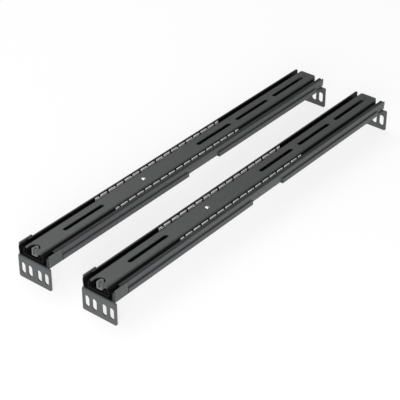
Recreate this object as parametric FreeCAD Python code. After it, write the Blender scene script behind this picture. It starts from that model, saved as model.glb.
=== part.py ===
"""Sliding server rail pair: two ball-bearing rack slides on four-slot end brackets.

Each rail is a three-section telescopic slide carried by a front and a rear bracket.
The outer member is a C channel. The intermediate member runs in it on one ball cage,
and the inner member runs in the intermediate member on a second, narrower one.
The rear bracket telescopes on the outer member to suit the depth of the rack.

Frame: X runs from the front flanges to the rear ones, Y across the pair and Z up. The
origin lies in the middle of the pair, on the surface that the flanges stand on. Each
rail is built with its front flange face at X = 0, its middle at Y = 0 and the seat
between arm and outer member at Z = 0, and is then set in place. Lengths are in
millimetres.
"""
import FreeCAD, Part
import math
import os
from FreeCAD import Vector

# ---- the pair ------------------------------------------------------------------
RAIL_LENGTH = 470.0          # front flange face to rear flange face, closed
RAIL_PITCH = 86.0            # centre to centre of the two rails as they lie
SLIDE_OFFSET = 1.3           # the slide sits this far to the left of the flanges' middle
SIDES = {"left": 1, "right": -1}

# ---- rack flanges and bracket arms ---------------------------------------------
BRACKET_T = 1.5              # bracket sheet
BRACKET_BEND = 1.0           # inside radius of the bracket bends
FLANGE_WIDTH = 44.0          # just under one rack unit
FLANGE_DROP = 26.5           # arm seat down to the flange's lower edge
FLANGE_CORNER = 2.0
EIA_OUTER_PAIR = 31.75       # rack holes one unit apart
EIA_INNER_PAIR = 12.7
FLANGE_SLOT_W = 6.0
FLANGE_SLOT_L = 13.0
FLANGE_SLOT_DROP = 14.5      # seat down to the middle of the slots
FRONT_ARM_END = 216.5        # distance of the front arm's tip from the front face
REAR_ARM_LENGTH = 200.0      # rear arm's tip from the rear face
FRONT_NECK = 21.5            # bare web between the flange and the arm's lips
REAR_NECK = 16.5
FLANGE_SEAT = 1.0            # flat beyond the flange's bend, before the arm starts
CHEEK_H = 12.4               # cheeks beside the front end of the slide
CHEEK_GAP = 1.5              # cheek to the arm's lip
ARM_LIP_H = 5.0              # lips stand this high above the seat
ARM_LIP_BEND = 0.3
ARM_CLEAR = 0.1              # arm lip to outer member wall

# ---- outer member --------------------------------------------------------------
OUTER_W = 39.0
OUTER_H = 13.4
OUTER_T = 1.5
OUTER_LIP_BEND = 1.6         # radii along the middle of the sheet
OUTER_STEP_BEND = 1.2
OUTER_FOOT_BEND = 1.5
OUTER_SET_FRONT = 0.5        # member ends back from the flange faces
OUTER_SET_REAR = 1.0
OUTER_LIP_W = 4.5            # lips reach this far in from the sides
OUTER_LIP_FALL = 0.3         # lip edges dip towards the mouth
OUTER_LIP_CUT = 11.5         # lips are cut back at the front end
OUTER_LIP_CUT_REAR = 4.0
LIP_CUT_FALL = 0.6           # the cut goes this far below the lips
RACE_DEPTH = 0.3             # how far a ball race is rolled into a wall
RACE_STEP = 1.0              # height of the step beside a race

# ---- intermediate and inner members ---------------------------------------------
MID_T = 1.3
MID_TOP_GAP = 2.6            # wall edges below the outer member's top
MID_STEP_BEND = 0.8
MID_FOOT_BEND = 0.9
MID_WINDOW_L = 70.0          # windows that lighten its web
MID_WINDOW_W = 8.0
MID_WINDOW_PITCH = 140.0
MID_SET_FRONT = 1.0
MID_SET_REAR = 10.0
INNER_T = 1.3
INNER_SIDE_GAP = 0.7         # inner member's wall to the intermediate member's
INNER_EDGE_BEND = 1.1
INNER_SHELF_BEND = 0.75
INNER_SET_FRONT = 0.2
INNER_SET_REAR = 4.5
INNER_CORNER = 2.2           # corners cut off the inner member's ends
LAYER_GAP = 0.3              # running gap between stacked webs

# ---- balls and cages --------------------------------------------------------------
BALL_CLEAR = 0.05
BALL_PITCH = 12.7
OUTER_BALL_Z = 9.0
OUTER_BALL_D = 4.763         # 3/16 in
INNER_BALL_Z = 6.4
INNER_BALL_D = 2.6
SHELF_GAP = 0.5              # inner balls to the inner member's shelf
CAGE_T = 0.6
CAGE_BEND = 0.4
CAGE_WALL_GAP = 0.25         # outer cage wall to the intermediate member's wall
CAGE_TOP_GAP = 0.8           # cage edges below the outer member's top
CAGE_START = 107.0
CAGE_POCKETS = 16            # pockets along each side of the outer cage
BALL_EVERY = 2               # one pocket in two is loaded
INNER_POCKETS = 8            # the inner cage has twice the pitch
POCKET_CLEAR = 0.08
POCKET_MOUTH = 2.8           # the outer cage's pockets narrow to this at its edge

# ---- slots, holes and fasteners ---------------------------------------------------
SLOT_W = 5.0
SLOT_L = 59.0
SLOT_PITCH = 69.5
FRONT_SLOT_X = 74.0          # middle of the single front slot
REAR_SLOT_SET = 46.0         # middle of the last rear slot from the rear flange face
REAR_SLOT_COUNT = 3
PILOT_HOLE_SET = 12.5        # from the rear flange face
PILOT_HOLE_D = 2.6
RIVET_X = 166.5
RIVET_HEAD_D = 5.0
RIVET_HEAD_H = 0.9
SCREW_D = 3.9                # M4
SCREW_HOLE_D = 4.0
SCREW_HEAD_AF = 8.0          # hexagon across flats
SCREW_HEAD_H = 2.8
SCREW_END_GAP = 0.1          # shanks end this far below the channel floor
CLAMP_SCREW_SETS = (75.0, 30.0)   # from the rear flange face
ADJUST_SLOT_W = 4.8
ADJUST_SLOT_TIP = 11.5       # slot's end from the arm's tip: leaves 110 mm of travel
ADJUST_SLOT_END = 3.5        # slot beyond the outermost screw positions

# ---- latch lever and bumpers --------------------------------------------------------
NOTCH_W = 12.0               # notch in the front of the inner member
NOTCH_DEPTH = 10.5
NOTCH_OFFSET = 1.5
LEVER_PIVOT_X = 26.0
PIVOT_D = 3.0
PIVOT_END = 0.6              # pin below the lever
PIVOT_CLEAR = 0.05
LEVER_DISC_D = 8.0
LEVER_T = 1.6
LEVER_NECK_W = 5.0
LEVER_RISER_X = 17.0         # the lever steps up here, from the fingers' foot to the disc
LEVER_PAD_L = 8.0
LEVER_FRONT = 2.0
LEVER_GAP = 0.15             # lever to the web above it
LEVER_FOOT_GAP = 0.6         # lever above the inner member's lower edges
FINGER_T = 1.5
FINGER_L = 4.5
FINGER_TIP = 1.0             # radius of the finger tips
FINGER_LEFT_Y = 2.0
FINGER_RIGHT_Y = -3.0
CURL_D = 4.6
CURL_T = 1.2
BUMPER_W = 12.0
BUMPER_L = 6.0
BUMPER_CLEAR = 0.6
OUTER_BUMPER_GAP = 0.5       # behind the intermediate member
MID_BUMPER_SET = 1.0         # ahead of the intermediate member's rear end
TAB_L = 1.5                  # lanced stop tabs that end the cages' runs
TAB_W = 5.0
TAB_X = 3.0
TAB_Y = 5.5
TAB_GAP = 0.15               # tab to the piece that slides over it

# ---- making ---------------------------------------------------------------------------
PAST = 1.0                   # cutters run this far past a face
ROOT = 0.1                   # joined forms reach this far into each other
TINY = 1e-6

# ---- sizes worked out from the ones above -------------------------------------------
MID_Z = OUTER_T + CAGE_T + 2 * LAYER_GAP            # underside of the intermediate web
INNER_CAGE_Z = MID_Z + MID_T + LAYER_GAP
INNER_FOOT_Z = INNER_CAGE_Z + CAGE_T + LAYER_GAP    # lower edge of the inner member
OUTER_RACE = OUTER_W / 2 - OUTER_T
MID_RACE_OUT = OUTER_RACE - OUTER_BALL_D - 2 * BALL_CLEAR   # wall's outer face at the outer balls
MID_HALF = MID_RACE_OUT + RACE_DEPTH                # half width over the middle of its step
MID_RACE_IN = MID_HALF + RACE_DEPTH - MID_T         # wall's inner face at the inner balls
OUTER_BALL_Y = (OUTER_RACE + MID_RACE_OUT) / 2
INNER_HALF = MID_RACE_OUT - MID_T - INNER_SIDE_GAP
INNER_BALL_Y = MID_RACE_IN - BALL_CLEAR - INNER_BALL_D / 2
INNER_RACE = INNER_BALL_Y - INNER_BALL_D / 2 - BALL_CLEAR
SHELF_Z = INNER_BALL_Z + INNER_BALL_D / 2 + SHELF_GAP   # underside of the inner member's shelf
OUTER_CAGE_Y = MID_HALF + RACE_DEPTH + CAGE_WALL_GAP + CAGE_T / 2   # middle of its walls
INNER_CAGE_Y = INNER_BALL_Y - CAGE_T / 2
CAGE_LENGTH = CAGE_POCKETS * BALL_PITCH
CLAMP_SCREWS_X = [RAIL_LENGTH - place for place in CLAMP_SCREW_SETS]
ARM_SIDE = OUTER_W / 2 + ARM_CLEAR + BRACKET_T      # half width over an arm's lips
FLANGE_LEFT = FLANGE_WIDTH / 2 - SLIDE_OFFSET       # flange edges from the slide's middle
FLANGE_RIGHT = FLANGE_WIDTH / 2 + SLIDE_OFFSET
PAIR_SHIFT = (max(FLANGE_RIGHT, ARM_SIDE) - max(FLANGE_LEFT, ARM_SIDE)) / 2


def strip(path, thickness, radii):
    """Closed outline of a bent sheet: a centre line of points with a radius per bend."""
    count = len(path)
    left, right = [], []
    starts, ends = [None] * count, [None] * count
    starts[0] = ends[0] = Vector(*path[0])
    starts[-1] = ends[-1] = Vector(*path[-1])
    arcs = {}
    for i in range(1, count - 1):
        before, here, after = (Vector(*path[k]) for k in (i - 1, i, i + 1))
        u = (here - before).normalize()
        v = (after - here).normalize()
        turn = u.getAngle(v)
        reach = radii[i - 1] * math.tan(turn / 2)
        ends[i] = here - u * reach
        starts[i] = here + v * reach
        bisector = (v - u).normalize()
        centre = here + bisector * (radii[i - 1] / math.cos(turn / 2))
        arcs[i] = (centre, bisector)
    half = thickness / 2
    plane_normal = Vector(*path[1]).sub(Vector(*path[0])).cross(
        Vector(*path[2]).sub(Vector(*path[1]))).normalize()
    for i in range(count - 1):
        a, b = starts[i], ends[i + 1]
        side = (Vector(*path[i + 1]) - Vector(*path[i])).normalize().cross(plane_normal) * half
        left.append(Part.LineSegment(a + side, b + side).toShape())
        right.append(Part.LineSegment(a - side, b - side).toShape())
        if i + 1 in arcs:
            centre, bisector = arcs[i + 1]
            next_side = (Vector(*path[i + 2]) - Vector(*path[i + 1])).normalize()
            next_side = next_side.cross(plane_normal) * half
            for chain, sign in ((left, 1), (right, -1)):
                p = ends[i + 1] + side * sign
                q = starts[i + 1] + next_side * sign
                middle = centre - bisector * (p - centre).Length
                chain.append(Part.Arc(p, middle, q).toShape())
    caps = [Part.LineSegment(left[0].Vertexes[0].Point, right[0].Vertexes[0].Point).toShape(),
            Part.LineSegment(left[-1].Vertexes[-1].Point, right[-1].Vertexes[-1].Point).toShape()]
    wire = Part.Wire(Part.__sortEdges__(left + right + caps))
    return Part.Face(wire)


def channel(half_path, thickness, radii, x0, x1):
    """Sheet channel along X from the (y, z) centre line of its right half, mirrored."""
    mirrored = [(x0, -y, z) for y, z in reversed(half_path)]
    path = [(x0, y, z) for y, z in half_path] + mirrored
    face = strip(path, thickness, radii + radii[::-1])
    return face.extrude(Vector(x1 - x0, 0, 0))


def box(x0, x1, y0, y1, z0, z1):
    return Part.makeBox(x1 - x0, y1 - y0, z1 - z0, Vector(x0, y0, z0))


def rod(x, y, z0, z1, diameter):
    """Upright cylinder."""
    return Part.makeCylinder(diameter / 2, z1 - z0, Vector(x, y, z0))


def slot_x(x, y, z0, z1, length, width):
    """Upright round-ended slot that runs along X."""
    reach = (length - width) / 2
    body = box(x - reach, x + reach, y - width / 2, y + width / 2, z0, z1)
    return body.fuse([rod(x - reach, y, z0, z1, width), rod(x + reach, y, z0, z1, width)])


def slot_z(x0, x1, y, z, length, width):
    """Round-ended slot through a flange, running along Z."""
    reach = (length - width) / 2
    body = box(x0, x1, y - width / 2, y + width / 2, z - reach, z + reach)
    ends = [Part.makeCylinder(width / 2, x1 - x0, Vector(x0, y, z + s * reach), Vector(1, 0, 0))
            for s in (-1, 1)]
    return body.fuse(ends)


def stop_tabs(z0, z1):
    """Pair of lanced tabs on a web, near its front end."""
    return [box(TAB_X, TAB_X + TAB_L, side * TAB_Y - TAB_W / 2, side * TAB_Y + TAB_W / 2, z0, z1)
            for side in (-1, 1)]


def outer_member():
    """C channel with rolled races and lips, cut back at the front."""
    x0, x1 = OUTER_SET_FRONT, RAIL_LENGTH - OUTER_SET_REAR
    half_t = OUTER_T / 2
    wall = OUTER_W / 2 - half_t
    top = OUTER_H - half_t
    race_low = OUTER_BALL_Z - OUTER_BALL_D / 2 - half_t
    inset = wall - RACE_DEPTH
    half_path = [(OUTER_W / 2 - OUTER_LIP_W, top - OUTER_LIP_FALL), (wall, top), (wall, race_low),
                 (inset, race_low - RACE_STEP), (inset, half_t)]
    body = channel(half_path, OUTER_T, [OUTER_LIP_BEND, OUTER_STEP_BEND, OUTER_STEP_BEND, OUTER_FOOT_BEND],
                   x0, x1)
    cut_z = OUTER_H - OUTER_T - OUTER_LIP_FALL - LIP_CUT_FALL
    inner_face = OUTER_RACE - RACE_DEPTH
    for start, end in ((x0 - PAST, OUTER_LIP_CUT), (x1 - OUTER_LIP_CUT_REAR, x1 + PAST)):
        body = body.cut(box(start, end, -inner_face, inner_face, cut_z, OUTER_H + PAST))
    body = body.cut([rod(x, 0, -PAST, OUTER_T + PAST, SCREW_HOLE_D) for x in CLAMP_SCREWS_X])
    return body.fuse(stop_tabs(OUTER_T - ROOT, MID_Z - TAB_GAP)).removeSplitter()


def intermediate_member():
    """U channel whose S-shaped walls hold a race on each side."""
    x0, x1 = MID_SET_FRONT, RAIL_LENGTH - MID_SET_REAR
    half_t = MID_T / 2
    wall = MID_HALF - half_t
    between = (OUTER_BALL_Z + INNER_BALL_Z) / 2
    web = MID_Z + half_t
    half_path = [(wall - RACE_DEPTH, OUTER_H - MID_TOP_GAP), (wall - RACE_DEPTH, between + RACE_STEP / 2),
                 (wall + RACE_DEPTH, between - RACE_STEP / 2), (wall + RACE_DEPTH, web)]
    body = channel(half_path, MID_T, [MID_STEP_BEND, MID_STEP_BEND, MID_FOOT_BEND], x0, x1)
    middle = (x0 + x1) / 2
    for x in (middle - MID_WINDOW_PITCH, middle, middle + MID_WINDOW_PITCH):
        body = body.cut(box(x - MID_WINDOW_L / 2, x + MID_WINDOW_L / 2,
                            -MID_WINDOW_W / 2, MID_WINDOW_W / 2, MID_Z - PAST, MID_Z + MID_T + PAST))
    return body.fuse(stop_tabs(MID_Z + MID_T - ROOT, INNER_FOOT_Z - TAB_GAP)).removeSplitter()


def inner_member():
    """Hat section, web upwards, with the equipment slots and the latch notch."""
    x0, x1 = INNER_SET_FRONT, RAIL_LENGTH - INNER_SET_REAR
    half_t = INNER_T / 2
    web = OUTER_H - half_t
    wall = INNER_HALF - half_t
    foot = INNER_RACE - half_t
    shelf = SHELF_Z + half_t
    half_path = [(foot, INNER_FOOT_Z), (foot, shelf), (wall, shelf), (wall, web)]
    body = channel(half_path, INNER_T, [INNER_SHELF_BEND, INNER_SHELF_BEND, INNER_EDGE_BEND], x0, x1)
    z0, z1 = web - INNER_T, OUTER_H + PAST
    cuts = [slot_x(FRONT_SLOT_X, 0, z0, z1, SLOT_L, SLOT_W)]
    for i in range(REAR_SLOT_COUNT):
        middle = RAIL_LENGTH - REAR_SLOT_SET - i * SLOT_PITCH
        cuts.append(slot_x(middle, 0, z0, z1, SLOT_L, SLOT_W))
    cuts.append(rod(RAIL_LENGTH - PILOT_HOLE_SET, 0, z0, z1, PILOT_HOLE_D))
    for x, inward in ((x0, 1), (x1, -1)):
        for side in (-1, 1):
            corner = [Vector(x, side * INNER_HALF, 0),
                      Vector(x + inward * INNER_CORNER, side * INNER_HALF, 0),
                      Vector(x, side * (INNER_HALF - INNER_CORNER), 0)]
            cuts.append(Part.Face(Part.makePolygon(corner + corner[:1])).extrude(Vector(0, 0, z1)))
    straight = NOTCH_DEPTH - NOTCH_W / 2
    y0, y1 = NOTCH_OFFSET - NOTCH_W / 2, NOTCH_OFFSET + NOTCH_W / 2
    cuts.append(box(x0 - PAST, x0 + straight, y0, y1, z0, z1))
    cuts.append(rod(x0 + straight, NOTCH_OFFSET, z0, z1, NOTCH_W))
    return body.cut(cuts).removeSplitter()


def pocket_places(pockets):
    """Middles of the pockets along a cage."""
    pitch = CAGE_LENGTH / pockets
    return [CAGE_START + (i + 0.5) * pitch for i in range(pockets)]


def cage(half, wall_top, web_z, ball_z, pockets, reach, mouth):
    """Pressed ball cage: a web and two upright walls, with pockets that narrow to their mouths."""
    half_path = [(half, wall_top), (half, web_z + CAGE_T / 2)]
    body = channel(half_path, CAGE_T, [CAGE_BEND], CAGE_START, CAGE_START + CAGE_LENGTH)
    low = ball_z - reach
    slope = (reach - mouth / 2) / (wall_top - ball_z)
    foot = reach + slope * reach
    cuts = []
    for x in pocket_places(pockets):
        top = wall_top + PAST
        open_half = mouth / 2 - slope * PAST
        corners = [(x - foot, low), (x + foot, low), (x + open_half, top), (x - open_half, top)]
        points = [Vector(u, -half - PAST, w) for u, w in corners]
        pocket = Part.Face(Part.makePolygon(points + points[:1]))
        cuts.append(pocket.extrude(Vector(0, 2 * (half + PAST), 0)))
    return body.cut(cuts)


def outer_cage():
    """Its walls pass inside the ball centres, so the pockets are chords of the balls."""
    chord = OUTER_BALL_Y - OUTER_CAGE_Y - CAGE_T / 2
    reach = math.sqrt((OUTER_BALL_D / 2) ** 2 - chord ** 2) + POCKET_CLEAR
    return cage(OUTER_CAGE_Y, OUTER_H - CAGE_TOP_GAP, OUTER_T + LAYER_GAP, OUTER_BALL_Z,
                CAGE_POCKETS, reach, POCKET_MOUTH)


def inner_cage():
    reach = INNER_BALL_D / 2 + POCKET_CLEAR
    return cage(INNER_CAGE_Y, SHELF_Z - LAYER_GAP, INNER_CAGE_Z, INNER_BALL_Z, INNER_POCKETS,
                reach, 2 * reach)


def ball(x, y, z, diameter):
    """Bearing ball as the rhombicuboctahedron inside it: three octagonal prisms and an octahedron."""
    side = diameter / 2 / math.sqrt(5 + 2 * math.sqrt(2))
    half = side * (1 + math.sqrt(2))
    profile = [(half, side), (side, half), (-side, half), (-half, side),
               (-half, -side), (-side, -half), (side, -half), (half, -side)]
    corner_cut = half + 2 * side
    tips = [Vector(*(s * corner_cut if axis == k else 0 for k in range(3)))
            for axis in range(3) for s in (1, -1)]
    faces = [Part.Face(Part.makePolygon([tips[a], tips[b], tips[c], tips[a]]))
             for a in (0, 1) for b in (2, 3) for c in (4, 5)]
    body = Part.Solid(Part.Shell(faces))
    for turn in range(3):
        corners = []
        for u, v in profile:
            axes = [u, v, -half]
            corners.append(Vector(*(axes[turn:] + axes[:turn])))
        along = [0, 0, 2 * half]
        outline = Part.Face(Part.makePolygon(corners + corners[:1]))
        body = body.common(outline.extrude(Vector(*(along[turn:] + along[:turn]))))
    body.translate(Vector(x, y, z))
    return body


def balls(places, y, z, diameter):
    """Both rows of one cage's balls."""
    return Part.makeCompound([ball(x, side * y, z, diameter) for x in places for side in (-1, 1)])


def flange():
    """Rack flange and its bend, hanging from the seat at X = 0, with four slots."""
    mid = BRACKET_T / 2
    reach = BRACKET_T + BRACKET_BEND + FLANGE_SEAT
    path = [(reach, -FLANGE_RIGHT, -mid), (mid, -FLANGE_RIGHT, -mid), (mid, -FLANGE_RIGHT, -FLANGE_DROP)]
    body = strip(path, BRACKET_T, [BRACKET_BEND + mid]).extrude(Vector(0, FLANGE_WIDTH, 0))
    lower = [e for e in body.Edges if abs(e.BoundBox.ZMax + FLANGE_DROP) < TINY
             and e.BoundBox.XLength > BRACKET_T / 2]
    body = body.makeFillet(FLANGE_CORNER, lower)
    cuts = [slot_z(-PAST, BRACKET_T + PAST, side * pair / 2 - SLIDE_OFFSET, -FLANGE_SLOT_DROP,
                   FLANGE_SLOT_L, FLANGE_SLOT_W)
            for pair in (EIA_OUTER_PAIR, EIA_INNER_PAIR) for side in (-1, 1)]
    outside = max(FLANGE_RIGHT, ARM_SIDE) + PAST
    for y0, y1 in ((-outside, -OUTER_W / 2), (OUTER_W / 2, outside)):
        cuts.append(box(BRACKET_T, reach + PAST, y0, y1, -BRACKET_T - BRACKET_BEND, PAST))
    return body.cut(cuts)


def arm_channel(height, x0, x1):
    """Sheet channel that the outer member lies in, its lips standing up to the height."""
    half_t = BRACKET_T / 2
    wall = ARM_SIDE - half_t
    return channel([(wall, height), (wall, -half_t)], BRACKET_T, [half_t + ARM_LIP_BEND], x0, x1)


def arm(neck, tip):
    """Bracket arm from the flange at X = 0: bare neck, then a channel with low lips."""
    web = box(BRACKET_T + BRACKET_BEND, neck + ROOT, -OUTER_W / 2, OUTER_W / 2, -BRACKET_T, 0)
    return arm_channel(ARM_LIP_H, neck, tip).fuse([web, flange()])


def front_bracket():
    """Spot welded to the outer member, so it has no fasteners. Its cheeks close the front end."""
    cheeks = arm_channel(CHEEK_H, BRACKET_T + BRACKET_BEND, FRONT_NECK - CHEEK_GAP)
    return arm(FRONT_NECK, FRONT_ARM_END).fuse(cheeks).removeSplitter()


def rear_bracket():
    """An arm turned end for end, with a long slot that the clamp screws run in."""
    body = arm(REAR_NECK, REAR_ARM_LENGTH).mirror(Vector(0, 0, 0), Vector(1, 0, 0))
    body.translate(Vector(RAIL_LENGTH, 0, 0))
    x0 = RAIL_LENGTH - REAR_ARM_LENGTH + ADJUST_SLOT_TIP
    x1 = CLAMP_SCREWS_X[-1] + ADJUST_SLOT_END
    slot = slot_x((x0 + x1) / 2, 0, -BRACKET_T - PAST, PAST, x1 - x0, ADJUST_SLOT_W)
    return body.cut(slot).removeSplitter()


def clamp_screws():
    """Hexagon screws driven from below through the arm's slot into the outer member's web."""
    radius = SCREW_HEAD_AF / math.sqrt(3)
    made = []
    for x in CLAMP_SCREWS_X:
        corners = [Vector(x + radius * math.cos(k * math.pi / 3), radius * math.sin(k * math.pi / 3),
                          -BRACKET_T - SCREW_HEAD_H) for k in range(7)]
        head = Part.Face(Part.makePolygon(corners)).extrude(Vector(0, 0, SCREW_HEAD_H))
        made.append(head.fuse(rod(x, 0, -BRACKET_T - ROOT, OUTER_T - SCREW_END_GAP, SCREW_D)))
    return Part.makeCompound(made)


def latch_pivot():
    """Pin under the inner member's web that the latch lever turns on."""
    web = OUTER_H - INNER_T
    return rod(LEVER_PIVOT_X, 0, web - LEVER_GAP - LEVER_T - PIVOT_END, web, PIVOT_D)


def latch_lever():
    """Moulded lever: pivot disc, neck, riser, thumb pad with two fingers, and a curled tip."""
    top = OUTER_H - INNER_T - LEVER_GAP
    low = top - LEVER_T
    foot = INNER_FOOT_Z + LEVER_FOOT_GAP
    half = LEVER_NECK_W / 2
    pieces = [box(LEVER_RISER_X, LEVER_PIVOT_X, -half, half, low, top),
              box(LEVER_RISER_X, LEVER_RISER_X + LEVER_T, -half, half, foot, top),
              box(LEVER_FRONT, LEVER_RISER_X + LEVER_T, -half, half, foot, foot + LEVER_T),
              box(LEVER_FRONT, LEVER_FRONT + LEVER_PAD_L, FINGER_RIGHT_Y - FINGER_T / 2,
                  FINGER_LEFT_Y + FINGER_T / 2, foot, foot + LEVER_T)]
    for y in (FINGER_LEFT_Y, FINGER_RIGHT_Y):
        upright = box(LEVER_FRONT, LEVER_FRONT + FINGER_L, y - FINGER_T / 2, y + FINGER_T / 2, foot, OUTER_H)
        tip = [e for e in upright.Edges if abs(e.BoundBox.ZMin - OUTER_H) < TINY
               and e.BoundBox.YLength > FINGER_T / 2]
        pieces.append(upright.makeFillet(FINGER_TIP, tip))
    curl_x = LEVER_FRONT + FINGER_L
    curl_y = FINGER_LEFT_Y + FINGER_T / 2 - CURL_D / 2
    ring = rod(curl_x, curl_y, low, OUTER_H, CURL_D).cut(
        rod(curl_x, curl_y, low, OUTER_H, CURL_D - 2 * CURL_T))
    front = box(curl_x - CURL_D, curl_x, curl_y - CURL_D, curl_y + CURL_D, low - PAST, OUTER_H + PAST)
    pieces.append(ring.cut(front))
    body = rod(LEVER_PIVOT_X, 0, low, top, LEVER_DISC_D).fuse(pieces)
    bore = rod(LEVER_PIVOT_X, 0, low - PAST, top + PAST, PIVOT_D + 2 * PIVOT_CLEAR)
    return body.cut(bore).removeSplitter()


def bumper(x0, z0, z1):
    """Rubber buffer block."""
    return box(x0, x0 + BUMPER_L, -BUMPER_W / 2, BUMPER_W / 2, z0, z1)


def rail():
    """Every piece of one rail, in the rail's own frame."""
    mid_end = RAIL_LENGTH - MID_SET_REAR
    inner_room = OUTER_H - INNER_T - BUMPER_CLEAR
    return {
        "outer_member": outer_member(),
        "front_bracket": front_bracket(),
        "rear_bracket": rear_bracket(),
        "clamp_screws": clamp_screws(),
        "outer_cage": outer_cage(),
        "outer_cage_balls": balls(pocket_places(CAGE_POCKETS)[::BALL_EVERY], OUTER_BALL_Y,
                                  OUTER_BALL_Z, OUTER_BALL_D),
        "intermediate_member": intermediate_member(),
        "inner_cage": inner_cage(),
        "inner_cage_balls": balls(pocket_places(INNER_POCKETS), INNER_BALL_Y, INNER_BALL_Z, INNER_BALL_D),
        "inner_member": inner_member(),
        "latch_lever": latch_lever(),
        "latch_pivot": latch_pivot(),
        "member_rivet": rod(RIVET_X, 0, OUTER_H, OUTER_H + RIVET_HEAD_H, RIVET_HEAD_D),
        "outer_bumper": bumper(mid_end + OUTER_BUMPER_GAP, OUTER_T, inner_room),
        "intermediate_bumper": bumper(mid_end - BUMPER_L - MID_BUMPER_SET, MID_Z + MID_T, inner_room),
    }


def main():
    os.makedirs("parts", exist_ok=True)
    pieces = rail()
    for side, sign in SIDES.items():
        for name, shape in pieces.items():
            placed = shape.copy()
            placed.translate(Vector(-RAIL_LENGTH / 2, sign * RAIL_PITCH / 2 + PAIR_SHIFT, FLANGE_DROP))
            placed.exportStep(f"parts/{side}_{name}.step")


main()
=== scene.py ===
"""Looks of a sliding server rail pair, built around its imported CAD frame.

Most pieces are the CAD solids with their own finishes. The outer members, the pressed outer
cages, the bearing balls and the domed rivets are worked out here as smooth surfaces.
Everything is in metres, in the CAD frame: X along the rails, Y across the pair, Z up.
"""
import math

import bpy
import numpy as np
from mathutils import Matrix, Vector


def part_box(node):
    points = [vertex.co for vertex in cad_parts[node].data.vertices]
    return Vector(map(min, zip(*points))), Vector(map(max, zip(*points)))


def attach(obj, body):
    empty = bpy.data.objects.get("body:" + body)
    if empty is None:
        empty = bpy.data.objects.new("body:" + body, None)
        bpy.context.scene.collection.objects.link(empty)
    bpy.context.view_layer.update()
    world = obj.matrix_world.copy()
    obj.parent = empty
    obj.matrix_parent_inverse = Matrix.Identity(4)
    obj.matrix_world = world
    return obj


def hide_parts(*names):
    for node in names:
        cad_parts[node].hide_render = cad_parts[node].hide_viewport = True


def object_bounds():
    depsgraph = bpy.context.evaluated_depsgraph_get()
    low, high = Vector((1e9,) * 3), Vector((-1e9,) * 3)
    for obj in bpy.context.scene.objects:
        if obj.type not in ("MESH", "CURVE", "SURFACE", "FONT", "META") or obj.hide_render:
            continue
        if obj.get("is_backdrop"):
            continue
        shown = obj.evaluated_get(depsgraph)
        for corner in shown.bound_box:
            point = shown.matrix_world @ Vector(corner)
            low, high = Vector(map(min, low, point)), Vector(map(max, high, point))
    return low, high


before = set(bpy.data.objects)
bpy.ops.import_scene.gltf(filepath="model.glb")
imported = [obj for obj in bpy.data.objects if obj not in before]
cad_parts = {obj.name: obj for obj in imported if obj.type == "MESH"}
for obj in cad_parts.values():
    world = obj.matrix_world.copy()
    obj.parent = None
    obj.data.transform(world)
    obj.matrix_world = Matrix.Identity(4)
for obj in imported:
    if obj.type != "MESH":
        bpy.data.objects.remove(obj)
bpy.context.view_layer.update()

bl_info = {
    "name": "Sliding server rail pair",
    "version": (1, 0, 0),
    "blender": (4, 5, 0),
    "location": "View3D > Sidebar > Rails",
    "description": "Finishes and smooth parts for a pair of ball-bearing server rails",
    "category": "Add Mesh",
}

MM = 0.001
SIDES = ("left", "right")
BALL_BOX_SHARE = 0.8629        # height of a CAD ball's facets over the diameter of the real ball
ROLLING = (0.05, 1, 1)         # draws grain out along the rails, as rolling does
# Darkening by height: heights in mm from a member's top where it is deepest and where it ends,
# and the share of colour and gloss that it leaves. The first only makes the outer member's lips
# darker towards the top; the second is painted shade, near black, on the inner member's sides down
# in the slide.
LIP_DARKENING = (-0.8, -2.4, 0.5)
SLIDE_PAINTED_SHADE = (-2.6, -0.8, 0.08)
LAMPS = {"key": (1.6, (0.3, 1.0, 1.5)), "fill": (1.4, (-1.8, -1.2, 0.7))}   # size and place
AIM = (188.05, 50.41, 26.5)    # aiming point in mm from the part's low corner
SLOTS = {"outer_member": "black_member", "outer_cage": "zinc_cage", "balls": "ball_steel",
         "rivet": "zinc_steel"}      # the record's material slots of the pieces made here


def linear(code):
    """sRGB hex colour to linear RGB."""
    levels = [int(code[i:i + 2], 16) / 255 for i in (1, 3, 5)]
    return tuple(c / 12.92 if c <= 0.04045 else ((c + 0.055) / 1.055) ** 2.4 for c in levels)


def colour_property(name, description, code):
    return bpy.props.FloatVectorProperty(name=name, description=description, subtype="COLOR",
                                         size=3, min=0, max=1, default=linear(code))


def length_property(name, description, millimetres):
    return bpy.props.FloatProperty(name=name, description=description, unit="LENGTH",
                                   subtype="DISTANCE", min=0, default=millimetres * MM)


class RailFinish(bpy.types.PropertyGroup):
    """Colours and roughness of the finishes."""
    member: colour_property("Outer member", "Coat on the outer members", "#3a3b3c")
    inner: colour_property("Inner member", "Coat on the inner members", "#343536")
    bracket: colour_property("Brackets", "Powder coat on the brackets", "#3a3b3c")
    # Near black: painted shade for the intermediate members and the outer members' inner skin and
    # edges.
    painted_shade: colour_property("Intermediate member", "Coat on the intermediate members", "#0b0b0c")
    cage: colour_property("Ball cages", "Zinc-plated sheet of the ball cages", "#d4d4d2")
    zinc: colour_property("Fasteners", "Bright zinc on screws, rivets and pivots", "#e4e4e2")
    ball: colour_property("Balls", "Polished bearing steel", "#c9c9ca")
    nylon: colour_property("Latch levers", "Filled nylon of the latch levers", "#565758")
    rubber: colour_property("Bumpers", "Rubber of the end bumpers", "#1c1c1c")
    coat_roughness: bpy.props.FloatProperty(
        name="Coat roughness", description="Roughness of the coated steel", min=0, max=1,
        default=0.42, subtype="FACTOR")


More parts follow.
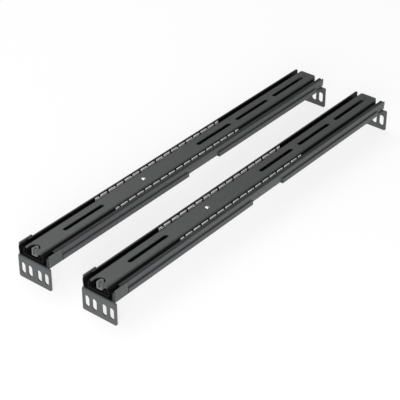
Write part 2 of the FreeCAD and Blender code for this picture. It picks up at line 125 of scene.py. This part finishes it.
class RailSizes(bpy.types.PropertyGroup):
    """Sizes of the pieces made here, on top of what the CAD boxes give."""
    rivet_crown: length_property("Rivet crown", "Height of the rivet's head", 0.9)
    rivet_rim: length_property("Rivet rim", "Upright edge under the head's dome", 0.135)
    outer_sheet: length_property("Outer sheet", "Thickness of the outer member's sheet", 1.5)
    lip_bend: length_property("Lip bend", "Radius of the bend between side and lip", 1.65)
    lip_width: length_property("Lip width", "Reach of the outer member's lips from its sides", 3.1)
    lip_fall: length_property("Lip fall", "How far the lips dip towards the mouth", 0.3)
    lip_cut_front: length_property("Front lip cut", "Lips cut back at the front end", 11.0)
    lip_cut_rear: length_property("Rear lip cut", "Lips cut back at the rear end", 4.0)
    lip_cut_depth: length_property("Lip cut depth", "Depth of those cuts below the top", 2.4)
    race_foot: length_property("Race foot", "Lower end of the outer race above the base", 5.87)
    race_depth: length_property("Race depth", "How far the race is rolled outwards", 0.3)
    race_step: length_property("Race step", "Height and bend of the step under the race", 1.0)
    cage_sheet: length_property("Cage sheet", "Thickness of the ball cages' strip", 0.6)
    cage_rise: length_property("Cage rise", "Outer cage walls above their CAD solids", 0.7)
    pocket_radius: length_property("Pocket radius", "Radius of the outer cages' pockets", 2.45)
    pocket_mouth: length_property("Pocket mouth", "Opening of a pocket between two tabs", 2.4)
    crest_length: length_property("Crest length", "Length of a tab's rounded corner", 1.3)
    crest_height: length_property("Crest height", "Height of a tab's rounded corner", 0.7)
    pockets: bpy.props.IntProperty(
        name="Pockets", description="Pockets along each side of an outer cage", min=1, default=16)
    ball_columns: bpy.props.IntProperty(
        name="Balls in a row", description="Balls along each side of a cage", min=2, default=8)


class StageSettings(bpy.types.PropertyGroup):
    """Floor, lamps and camera."""
    floor: colour_property("Floor", "Colour of the floor", "#f8f8f8")
    lens: bpy.props.FloatProperty(name="Lens", description="Focal length in millimetres",
                                  min=1, default=127.6)
    azimuth: bpy.props.FloatProperty(name="Azimuth", description="View direction from +X",
                                     subtype="ANGLE", default=math.radians(39.02))
    elevation: bpy.props.FloatProperty(
        name="Elevation", description="Angle of the view above the floor", subtype="ANGLE",
        default=math.radians(33.56))
    distance: length_property("Distance", "Camera to the aiming point", 1484.0)
    floor_lift: bpy.props.FloatProperty(
        name="Floor lift", description="Share of the floor that glows", min=0, max=1, default=0.78,
        subtype="FACTOR")
    world: bpy.props.FloatProperty(name="World", description="Strength of the even light",
                                   min=0, default=0.35)
    key: bpy.props.FloatProperty(
        name="Key", description="Power of the lamp above the rails' far side", min=0, default=15.0,
        unit="POWER")
    fill: bpy.props.FloatProperty(
        name="Fill", description="Power of the lamp in front of the rails", min=0, default=72.0,
        unit="POWER")
    reach: length_property("Floor reach", "Floor on each side of the origin", 30000.0)


# ---- nodes and materials --------------------------------------------------------------

def add(tree, kind, inputs=None, **settings):
    """Adds a node. Settings are its own values, and inputs are its sockets' values or links."""
    node = tree.nodes.new("ShaderNode" + kind)
    for key, value in settings.items():
        setattr(node, key, value)
    for key, value in (inputs or {}).items():
        if isinstance(value, bpy.types.NodeSocket):
            tree.links.new(value, node.inputs[key])
        else:
            node.inputs[key].default_value = value
    return node


def finish_material(name, colour, other, roughness, spread, grain_mm, relief_mm, metallic=0.0,
                    stretch=(1, 1, 1), patch_mm=28.0, gloss=0.5, fade=None, **sockets):
    """A surface whose colour drifts between two tones in patches, with a fine relief.

    Patch noise of patch_mm mixes the two colours and moves the roughness by spread. Grain
    noise of grain_mm, drawn out along the axes by stretch, gives the relief its height.
    A darkening of (low, high, share) takes colour and gloss down to that share of themselves
    between the two heights: painted shade down in the slide, and on the outer lips only a darker
    top.
    """
    material = bpy.data.materials.new(name)
    material.use_nodes = True
    tree = material.node_tree
    tree.nodes.clear()
    place = add(tree, "TexCoord").outputs["Object"]
    drawn = add(tree, "Mapping", {"Vector": place, "Scale": stretch}).outputs["Vector"]
    patches = add(tree, "TexNoise", {"Vector": place, "Scale": 1 / (patch_mm * MM), "Detail": 4.0,
                                     "Roughness": 0.6}).outputs["Fac"]
    grain = add(tree, "TexNoise", {"Vector": drawn, "Scale": 1 / (grain_mm * MM), "Detail": 2.0,
                                   "Roughness": 0.5}).outputs["Fac"]
    mixed = add(tree, "Math", {0: patches, 1: grain}, operation="MULTIPLY_ADD")
    mixed.inputs[1].default_value = 0.7
    tree.links.new(grain, mixed.inputs[2])
    level = add(tree, "MapRange", {"Value": mixed.outputs[0], "From Min": 0.55, "From Max": 1.15})
    tone = add(tree, "Mix", {"Factor": level.outputs[0]}, data_type="RGBA")
    tone.inputs[6].default_value = (*colour, 1)
    tone.inputs[7].default_value = (*other, 1)
    rough = add(tree, "MapRange", {"Value": level.outputs[0], "To Min": roughness - spread,
                                   "To Max": roughness + spread})
    relief = add(tree, "Bump", {"Height": grain, "Distance": relief_mm * MM, "Strength": 1.0})
    colour_out = tone.outputs[2]
    # Darkening by height: where it darkens the sides inside the slide it is painted shade.
    if fade:
        low, high, share = fade
        height = add(tree, "SeparateXYZ", {"Vector": place}).outputs["Z"]
        undimmed = add(tree, "MapRange", {"Value": height, "From Min": low, "From Max": high,
                                       "To Min": share, "To Max": 1.0}).outputs[0]
        colour_out = add(tree, "VectorMath", {0: colour_out, "Scale": undimmed},
                         operation="SCALE").outputs[0]
        gloss = add(tree, "Math", {0: undimmed, 1: gloss}, operation="MULTIPLY").outputs[0]
    shader = add(tree, "BsdfPrincipled", {"Base Color": colour_out, "Roughness": rough.outputs[0],
                                          "Metallic": metallic, "Normal": relief.outputs[0],
                                          "Specular IOR Level": gloss, **sockets})
    add(tree, "OutputMaterial", {"Surface": shader.outputs[0]})
    return material


def shade(colour, factor):
    return tuple(min(1.0, c * factor) for c in colour)


def rolled_coat(name, colour, drift, roughness, **more):
    """Coat on rolled strip, which drifts to drift times its colour."""
    return finish_material(name, colour, shade(colour, drift), roughness, 0.05, 1.6, 0.012,
                           stretch=ROLLING, **more)


def darkening_band(node, heights):
    """Heights and share of a darkening by height, from heights in mm under the top of a CAD node.
    """
    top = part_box(node)[1].z
    deepest, undimmed, share = heights
    return top + deepest * MM, top + undimmed * MM, share


def dress(node, material):
    """Gives a CAD node its finish."""
    node.data.materials.clear()
    node.data.materials.append(material)


def cad(*names):
    """The CAD nodes of those names on both rails."""
    return [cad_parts[f"{side}_{name}"] for side in SIDES for name in names]


# ---- surfaces ---------------------------------------------------------------------------

def mesh_piece(name, points, faces, material, slot, body, *replaced):
    """Puts arrays of points in metres and faces into a new object that rides on a body."""
    mesh = bpy.data.meshes.new(name)
    mesh.from_pydata(points.tolist(), [], faces)
    mesh.validate()
    mesh.polygons.foreach_set("use_smooth", [True] * len(mesh.polygons))
    mesh.materials.append(material)
    mesh.update()
    piece = bpy.data.objects.new(name, mesh)
    bpy.context.scene.collection.objects.link(piece)
    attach(piece, body)
    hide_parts(*replaced)
    return piece


def lathe(profile, segments=32):
    """Surface of revolution about Z: radius and height per profile row, turned through a circle.

    The first and the last rows have no radius and become single poles.
    """
    profile = np.asarray(profile, float)
    turn = np.arange(segments) * 2 * np.pi / segments
    ring = np.stack([np.cos(turn), np.sin(turn)], 1)
    rows = profile[1:-1]
    walls = np.empty((len(rows), segments, 3))
    walls[..., :2] = rows[:, None, :1] * ring[None]
    walls[..., 2] = rows[:, None, 1]
    points = np.vstack([[[0, 0, profile[0, 1]]], walls.reshape(-1, 3), [[0, 0, profile[-1, 1]]]])
    following = np.roll(np.arange(segments), -1)
    starts = 1 + np.arange(len(rows) - 1)[:, None] * segments
    here = starts + np.arange(segments)
    after = starts + following
    quads = np.stack([here, after, after + segments, here + segments], -1).reshape(-1, 4).tolist()
    first = 1 + np.arange(segments)
    last = first + (len(rows) - 1) * segments
    low = np.stack([np.zeros(segments, int), first[following], first], 1).tolist()
    high = np.stack([np.full(segments, len(points) - 1), last, last[following]], 1).tolist()
    return points, quads + low + high


def rounded(corners, radii, steps=6):
    """Open line through the corners, each inner one turned into an arc of its radius.

    An arc of radius r at a corner between unit directions u and v starts r tan(a / 2) before
    it, where a is the turn, and its points are centre + r (sin t u - cos t n) over 0 <= t <= a.
    """
    corners = np.asarray(corners, float)
    line = [corners[:1]]
    for before, here, after, radius in zip(corners, corners[1:], corners[2:], radii):
        u = (here - before) / np.linalg.norm(here - before)
        v = (after - here) / np.linalg.norm(after - here)
        turn = math.acos(np.clip(u @ v, -1, 1))
        normal = v - (u @ v) * u
        normal /= np.linalg.norm(normal)
        start = here - u * radius * math.tan(turn / 2)
        t = np.linspace(0, turn, steps)[:, None]
        line.append(start + radius * (np.sin(t) * u + (1 - np.cos(t)) * normal))
    line.append(corners[-1:])
    return np.vstack(line)


def sheet_piece(name, grid, keep, thickness, material, slot, body, *replaced):
    """Sheet metal from a grid of points on its middle surface, with a mask of faces to keep."""
    rows, columns = grid.shape[:2]
    index = np.arange(rows * columns).reshape(rows, columns)
    faces = np.stack([index[:-1, :-1], index[:-1, 1:], index[1:, 1:], index[1:, :-1]], -1)[keep]
    used, faces = np.unique(faces, return_inverse=True)
    piece = mesh_piece(name, grid.reshape(-1, 3)[used], faces.reshape(-1, 4).tolist(), material,
                       slot, body, *replaced)
    solid = piece.modifiers.new("sheet", "SOLIDIFY")
    solid.thickness = thickness
    solid.offset = 0
    split = piece.modifiers.new("crisp_edges", "EDGE_SPLIT")
    split.split_angle = math.radians(35)
    return piece


def repeat(points, faces, places):
    """Copies of one surface at each place, as one mesh."""
    places = np.asarray(places, float)
    count = len(points)
    spread = (places[:, None, :] + points[None]).reshape(-1, 3)
    joined = [[v + i * count for v in face] for i in range(len(places)) for face in faces]
    return spread, joined


# ---- operators ----------------------------------------------------------------------------

class RAILS_OT_coat_steel(bpy.types.Operator):
    """Coat the members and brackets in satin black, and roll the outer members"""
    bl_idname = "rails.coat_steel"
    bl_label = "Coated steel"

    def execute(self, context):
        finish = context.scene.rail_finish
        rough = finish.coat_roughness
        # Cathodic e-coat on rolled strip: an even satin black with faint lines along the rolling.
        # The outer lips are made darker and less glossy towards the top, and the inner member's
        # sides get painted shade, near black below the top.
        members = rolled_coat("ecoat_rolled_steel", finish.member, 1.35, rough,
                              fade=darkening_band("left_outer_member", LIP_DARKENING))
        inner = rolled_coat("ecoat_inner_steel", finish.inner, 1.25, rough + 0.03,
                            fade=darkening_band("left_inner_member", SLIDE_PAINTED_SHADE))
        # Painted shade: the intermediate members, and the outer members' inner skin and edges, are
        # coated near black to stand for the shade inside the slide.
        painted_shade = rolled_coat("greased_hidden_steel", finish.painted_shade, 1.3, rough + 0.12, gloss=0.08)
        # Powder coat: the same black with a pebbled orange peel of about a millimetre.
        brackets = finish_material("powder_coated_steel", finish.bracket,
                                   shade(finish.bracket, 1.3), rough + 0.05, 0.06, 1.2, 0.03)
        for names, material in ((("inner_member",), inner), (("intermediate_member",), painted_shade),
                                (("front_bracket", "rear_bracket"), brackets)):
            for node in cad(*names):
                dress(node, material)
        sizes = context.scene.rail_sizes
        for side in SIDES:
            self.outer_member(side, sizes, members, painted_shade)
        return {"FINISHED"}

    def outer_member(self, side, sizes, material, inside):
        """C channel: a rounded centre line in Y and Z, swept along X, its lips cut back."""
        low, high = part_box(f"{side}_outer_member")
        half = (high.y - low.y - sizes.outer_sheet) / 2
        middle = (low.y + high.y) / 2
        foot = low.z + sizes.outer_sheet / 2
        top = high.z - sizes.outer_sheet / 2
        race = low.z + sizes.race_foot
        inset = half - sizes.race_depth
        edge = half + sizes.outer_sheet / 2 - sizes.lip_width
        step = sizes.race_step
        # Half of the section: lip, side, race, step and half of the base.
        right = rounded([(edge, top - sizes.lip_fall), (half, top), (half, race),
                         (inset, race - step), (inset, foot), (0, foot)],
                        [sizes.lip_bend, step, step, sizes.outer_sheet])
        line = np.vstack([right, right[-2::-1] * (-1, 1)])
        along = np.array([low.x, low.x + sizes.lip_cut_front, high.x - sizes.lip_cut_rear, high.x])
        grid = np.empty((len(line), len(along), 3))
        grid[..., 0] = along
        grid[..., 1] = middle + line[:, None, 0]
        grid[..., 2] = line[:, None, 1]
        keep = np.ones((len(line) - 1, len(along) - 1), bool)
        lips = line[:-1, 1] + line[1:, 1] > 2 * (high.z - sizes.lip_cut_depth)
        keep[lips, 0] = keep[lips, 2] = False
        piece = sheet_piece(f"{side}_rolled_outer_member", grid, keep, sizes.outer_sheet, material,
                            SLOTS["outer_member"], "frame", f"{side}_outer_member")
        # The sheet's inner skin and its edges take the near-black painted shade finish.
        piece.data.materials.append(inside)
        piece.modifiers["sheet"].material_offset = 1
        piece.modifiers["sheet"].material_offset_rim = 1


class RAILS_OT_ball_cages(bpy.types.Operator):
    """Press the outer ball cages and finish all four"""
    bl_idname = "rails.ball_cages"
    bl_label = "Ball cages"

    def execute(self, context):
        finish = context.scene.rail_finish
        # Bright zinc on pressed strip: a soft silver with cloudy patches that catch the light.
        plated = finish_material("zinc_plated_strip", finish.cage, shade(finish.cage, 0.8),
                                 0.4, 0.06, 1.4, 0.01, metallic=0.35)
        # The same strip deep in the slide, darkened to near black: painted shade.
        painted_shade_zinc = finish_material("greased_zinc_strip", shade(finish.cage, 0.02),
                                  shade(finish.cage, 0.012), 0.5, 0.06, 1.4, 0.01, gloss=0.1)
        for node in cad("inner_cage"):
            dress(node, painted_shade_zinc)
        for side in SIDES:
            self.outer_cage(side, context.scene.rail_sizes, plated)
        return {"FINISHED"}

    def outer_cage(self, side, sizes, material):
        """U-shaped cage whose walls are cut by pockets that open upwards.

        At height z over a ball's middle a pocket's half width is sqrt(r^2 - z^2), but no less
        than half its mouth, and each tab between two pockets has an elliptic crest.
        """
        low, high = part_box(f"{side}_outer_cage")
        ball_low, ball_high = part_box(f"{side}_outer_cage_balls")
        ball_z = (ball_low.z + ball_high.z) / 2
        radius = sizes.pocket_radius
        mouth = sizes.pocket_mouth / 2
        top = high.z + sizes.cage_rise
        half = (high.y - low.y - sizes.cage_sheet) / 2
        foot = low.z + sizes.cage_sheet / 2
        # Half widths and heights up one side of a pocket: the round hole, then the crest.
        t = np.linspace(0, 1, 5)
        crest = np.stack([sizes.crest_length * (1 - np.sqrt(1 - t ** 2)),
                          top - sizes.crest_height * (1 - t)], 1)
        turn = np.radians(np.arange(-60, 41, 20))
        hole = np.stack([np.maximum(np.cos(turn) * radius, mouth),
                         ball_z + np.sin(turn) * radius], 1)
        hole = hole[hole[:, 1] < crest[0, 1] - sizes.cage_sheet / 4]
        wall = np.vstack([hole, crest + (mouth, 0)])
        # The section in Y and Z runs down one wall, over the base and up the other, and widths
        # holds the pockets' half width on each of its points.
        bend = rounded([(half, wall[0, 1]), (half, foot), (0, foot)], [sizes.cage_sheet])
        right = np.vstack([np.stack([np.full(len(wall), half), wall[:, 1]], 1)[:0:-1], bend])
        line = np.vstack([right, right[-2::-1] * (-1, 1)])
        widths = np.full(len(right), wall[0, 0])
        widths[:len(wall) - 1] = wall[:0:-1, 0]
        widths = np.concatenate([widths, widths[-2::-1]])
        middles = low.x + (np.arange(sizes.pockets) + 0.5) * (high.x - low.x) / sizes.pockets
        edges = middles[None, :, None] + widths[:, None, None] * (-1, 1)
        ends = np.ones((len(line), 1))
        grid = np.empty((len(line), 2 * sizes.pockets + 2, 3))
        grid[..., 0] = np.hstack([low.x * ends, edges.reshape(len(line), -1), high.x * ends])
        grid[..., 1] = (low.y + high.y) / 2 + line[:, None, 0]
        grid[..., 2] = line[:, None, 1]
        keep = np.ones((len(line) - 1, grid.shape[1] - 1), bool)
        keep[:len(wall) - 1, 1::2] = keep[1 - len(wall):, 1::2] = False
        sheet_piece(f"{side}_pressed_outer_cage", grid, keep, sizes.cage_sheet, material,
                    SLOTS["outer_cage"], f"{side}_outer_cage_body", f"{side}_outer_cage")


class RAILS_OT_bearing_balls(bpy.types.Operator):
    """Set smooth bearing balls in the cages"""
    bl_idname = "rails.bearing_balls"
    bl_label = "Bearing balls"

    def execute(self, context):
        finish = context.scene.rail_finish
        columns = context.scene.rail_sizes.ball_columns
        # Polished chrome steel: sharp reflections under a thin film of grease.
        polished = finish_material("polished_bearing_steel", finish.ball, shade(finish.ball, 0.9),
                                   0.14, 0.03, 2.0, 0.002, metallic=1.0)
        arc = np.linspace(-np.pi / 2, np.pi / 2, 11)
        for side in SIDES:
            for cage in ("outer_cage", "inner_cage"):
                name = f"{side}_{cage}_balls"
                low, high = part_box(name)
                radius = (high.z - low.z) / BALL_BOX_SHARE / 2
                inset = (high.z - low.z) / 2
                points, faces = lathe(np.stack([np.cos(arc) * radius, np.sin(arc) * radius], 1), 18)
                across = np.array([low.y + inset, high.y - inset])
                along = np.linspace(low.x + inset, high.x - inset, columns)
                places = np.array([(x, y, (low.z + high.z) / 2) for x in along for y in across])
                points, faces = repeat(points, faces, places)
                mesh_piece(f"{side}_{cage}_bearing_balls", points, faces, polished,
                           SLOTS["balls"], f"{side}_{cage}_body", name)
        return {"FINISHED"}


class RAILS_OT_fasteners(bpy.types.Operator):
    """Make the domed rivets, and plate the screws and pivots"""
    bl_idname = "rails.fasteners"
    bl_label = "Rivets, pivots and screws"

    def execute(self, context):
        finish = context.scene.rail_finish
        crown = context.scene.rail_sizes.rivet_crown
        rim = context.scene.rail_sizes.rivet_rim
        arc = np.linspace(0, np.pi / 2, 9)
        # Bright zinc plate: pale silver, slightly rough from the plating bath.
        zinc = finish_material("bright_zinc_plate", finish.zinc, shade(finish.zinc, 0.92),
                               0.3, 0.05, 1.5, 0.006, metallic=1.0)
        for node in cad("clamp_screws", "latch_pivot"):
            dress(node, zinc)
        for side in SIDES:
            low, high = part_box(f"{side}_member_rivet")
            radius = (high.x - low.x) / 2
            dome = np.stack([np.cos(arc) * radius, rim + np.sin(arc) * (crown - rim)], 1)
            profile = np.vstack([[0, 0], [radius, 0], dome])
            profile[-1, 0] = 0
            points, faces = lathe(profile, 32)
            points += ((low.x + high.x) / 2, (low.y + high.y) / 2, low.z)
            mesh_piece(f"{side}_domed_rivet", points, faces, zinc, SLOTS["rivet"],
                       f"{side}_inner_body", f"{side}_member_rivet")
        return {"FINISHED"}


class RAILS_OT_latch_levers(bpy.types.Operator):
    """Dress the latch levers and the bumpers"""
    bl_idname = "rails.latch_levers"
    bl_label = "Levers and bumpers"

    def execute(self, context):
        finish = context.scene.rail_finish
        # Glass-filled nylon as moulded: dull dark grey with a fine spark-eroded grain.
        nylon = finish_material("moulded_nylon", finish.nylon, shade(finish.nylon, 1.3),
                                0.5, 0.05, 0.8, 0.02)
        # Nitrile rubber: matt black.
        rubber = finish_material("nitrile_rubber", finish.rubber, shade(finish.rubber, 1.4),
                                 0.8, 0.05, 1.0, 0.02)
        for node in cad("latch_lever"):
            dress(node, nylon)
        for node in cad("outer_bumper", "intermediate_bumper"):
            dress(node, rubber)
        return {"FINISHED"}


class RAILS_OT_stage(bpy.types.Operator):
    """Set the floor, the lamps and the camera"""
    bl_idname = "rails.stage"
    bl_label = "Stage"

    def execute(self, context):
        scene = context.scene
        stage = scene.rail_stage
        floor_material = bpy.data.materials.new("matt_paper_sweep")
        floor_material.use_nodes = True
        tree = floor_material.node_tree
        tree.nodes.clear()
        # Matt paper: the glow lifts its shadows to a pale grey where it is seen or mirrored,
        # and adds no light to the rails' own diffuse shading.
        diffuse = add(tree, "BsdfDiffuse", {"Color": (*stage.floor, 1)})
        glow = add(tree, "Emission", {"Color": (1, 1, 1, 1), "Strength": 1.0})
        path = add(tree, "LightPath").outputs
        seen = path["Is Camera Ray"]
        for ray in ("Is Glossy Ray", "Is Transmission Ray"):
            seen = add(tree, "Math", {0: seen, 1: path[ray]}, operation="ADD").outputs[0]
        share = add(tree, "Math", {0: seen, 1: stage.floor_lift}, operation="MULTIPLY")
        paper = add(tree, "MixShader", {0: share.outputs[0], 1: diffuse.outputs[0],
                                        2: glow.outputs[0]})
        add(tree, "OutputMaterial", {"Surface": paper.outputs[0]})
        reach = stage.reach
        corners = [(-reach, -reach, 0), (reach, -reach, 0), (reach, reach, 0), (-reach, reach, 0)]
        mesh = bpy.data.meshes.new("floor")
        mesh.from_pydata(corners, [], [(0, 1, 2, 3)])
        mesh.materials.append(floor_material)
        floor = bpy.data.objects.new("floor", mesh)
        scene.collection.objects.link(floor)
        floor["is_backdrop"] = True

        world = bpy.data.worlds.new("even_light")
        world.use_nodes = True
        background = world.node_tree.nodes["Background"]
        background.inputs["Color"].default_value = (1, 1, 1, 1)
        background.inputs["Strength"].default_value = stage.world
        scene.world = world

        for name, (size, place) in LAMPS.items():
            lamp = bpy.data.lights.new(name, "AREA")
            lamp.energy = getattr(stage, name)
            lamp.size = size
            lamp.shape = "DISK"
            holder = bpy.data.objects.new(name, lamp)
            holder.location = place
            holder.rotation_euler = (-Vector(place)).to_track_quat("-Z", "Y").to_euler()
            scene.collection.objects.link(holder)

        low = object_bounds()[0]
        aim = Vector((low.x, low.y, 0)) + Vector(AIM) * MM
        level = math.cos(stage.elevation)
        ahead = Vector((math.cos(stage.azimuth) * level, math.sin(stage.azimuth) * level,
                        -math.sin(stage.elevation)))
        lens = bpy.data.cameras.new("camera")
        lens.lens = stage.lens
        lens.sensor_width = 36
        lens.clip_start = 0.05
        lens.clip_end = 100
        camera = bpy.data.objects.new("camera", lens)
        camera.location = aim - ahead * stage.distance
        camera.rotation_euler = ahead.to_track_quat("-Z", "Y").to_euler()
        scene.collection.objects.link(camera)
        scene.camera = camera
        scene.view_settings.view_transform = "Standard"
        return {"FINISHED"}


class RAILS_PT_panel(bpy.types.Panel):
    """Shows the settings of the rails and the buttons that build them"""
    bl_idname = "RAILS_PT_panel"
    bl_label = "Server rails"
    bl_space_type = "VIEW_3D"
    bl_region_type = "UI"
    bl_category = "Rails"

    def draw(self, context):
        for name, kind in GROUPS.items():
            column = self.layout.column(align=True)
            for key in kind.__annotations__:
                column.prop(getattr(context.scene, name), key)
        for operator in OPERATORS:
            self.layout.operator(operator.bl_idname)


OPERATORS = (RAILS_OT_coat_steel, RAILS_OT_ball_cages, RAILS_OT_bearing_balls, RAILS_OT_fasteners,
             RAILS_OT_latch_levers, RAILS_OT_stage)
GROUPS = {"rail_finish": RailFinish, "rail_sizes": RailSizes, "rail_stage": StageSettings}
CLASSES = (*GROUPS.values(), *OPERATORS, RAILS_PT_panel)


def register():
    for cls in CLASSES:
        bpy.utils.register_class(cls)
    for key, group in GROUPS.items():
        setattr(bpy.types.Scene, key, bpy.props.PointerProperty(type=group))


def unregister():
    for key in GROUPS:
        delattr(bpy.types.Scene, key)
    for cls in reversed(CLASSES):
        bpy.utils.unregister_class(cls)


def main():
    register()
    for operator in OPERATORS:
        group, name = operator.bl_idname.split(".")
        getattr(getattr(bpy.ops, group), name)()


if __name__ == "__main__":
    main()
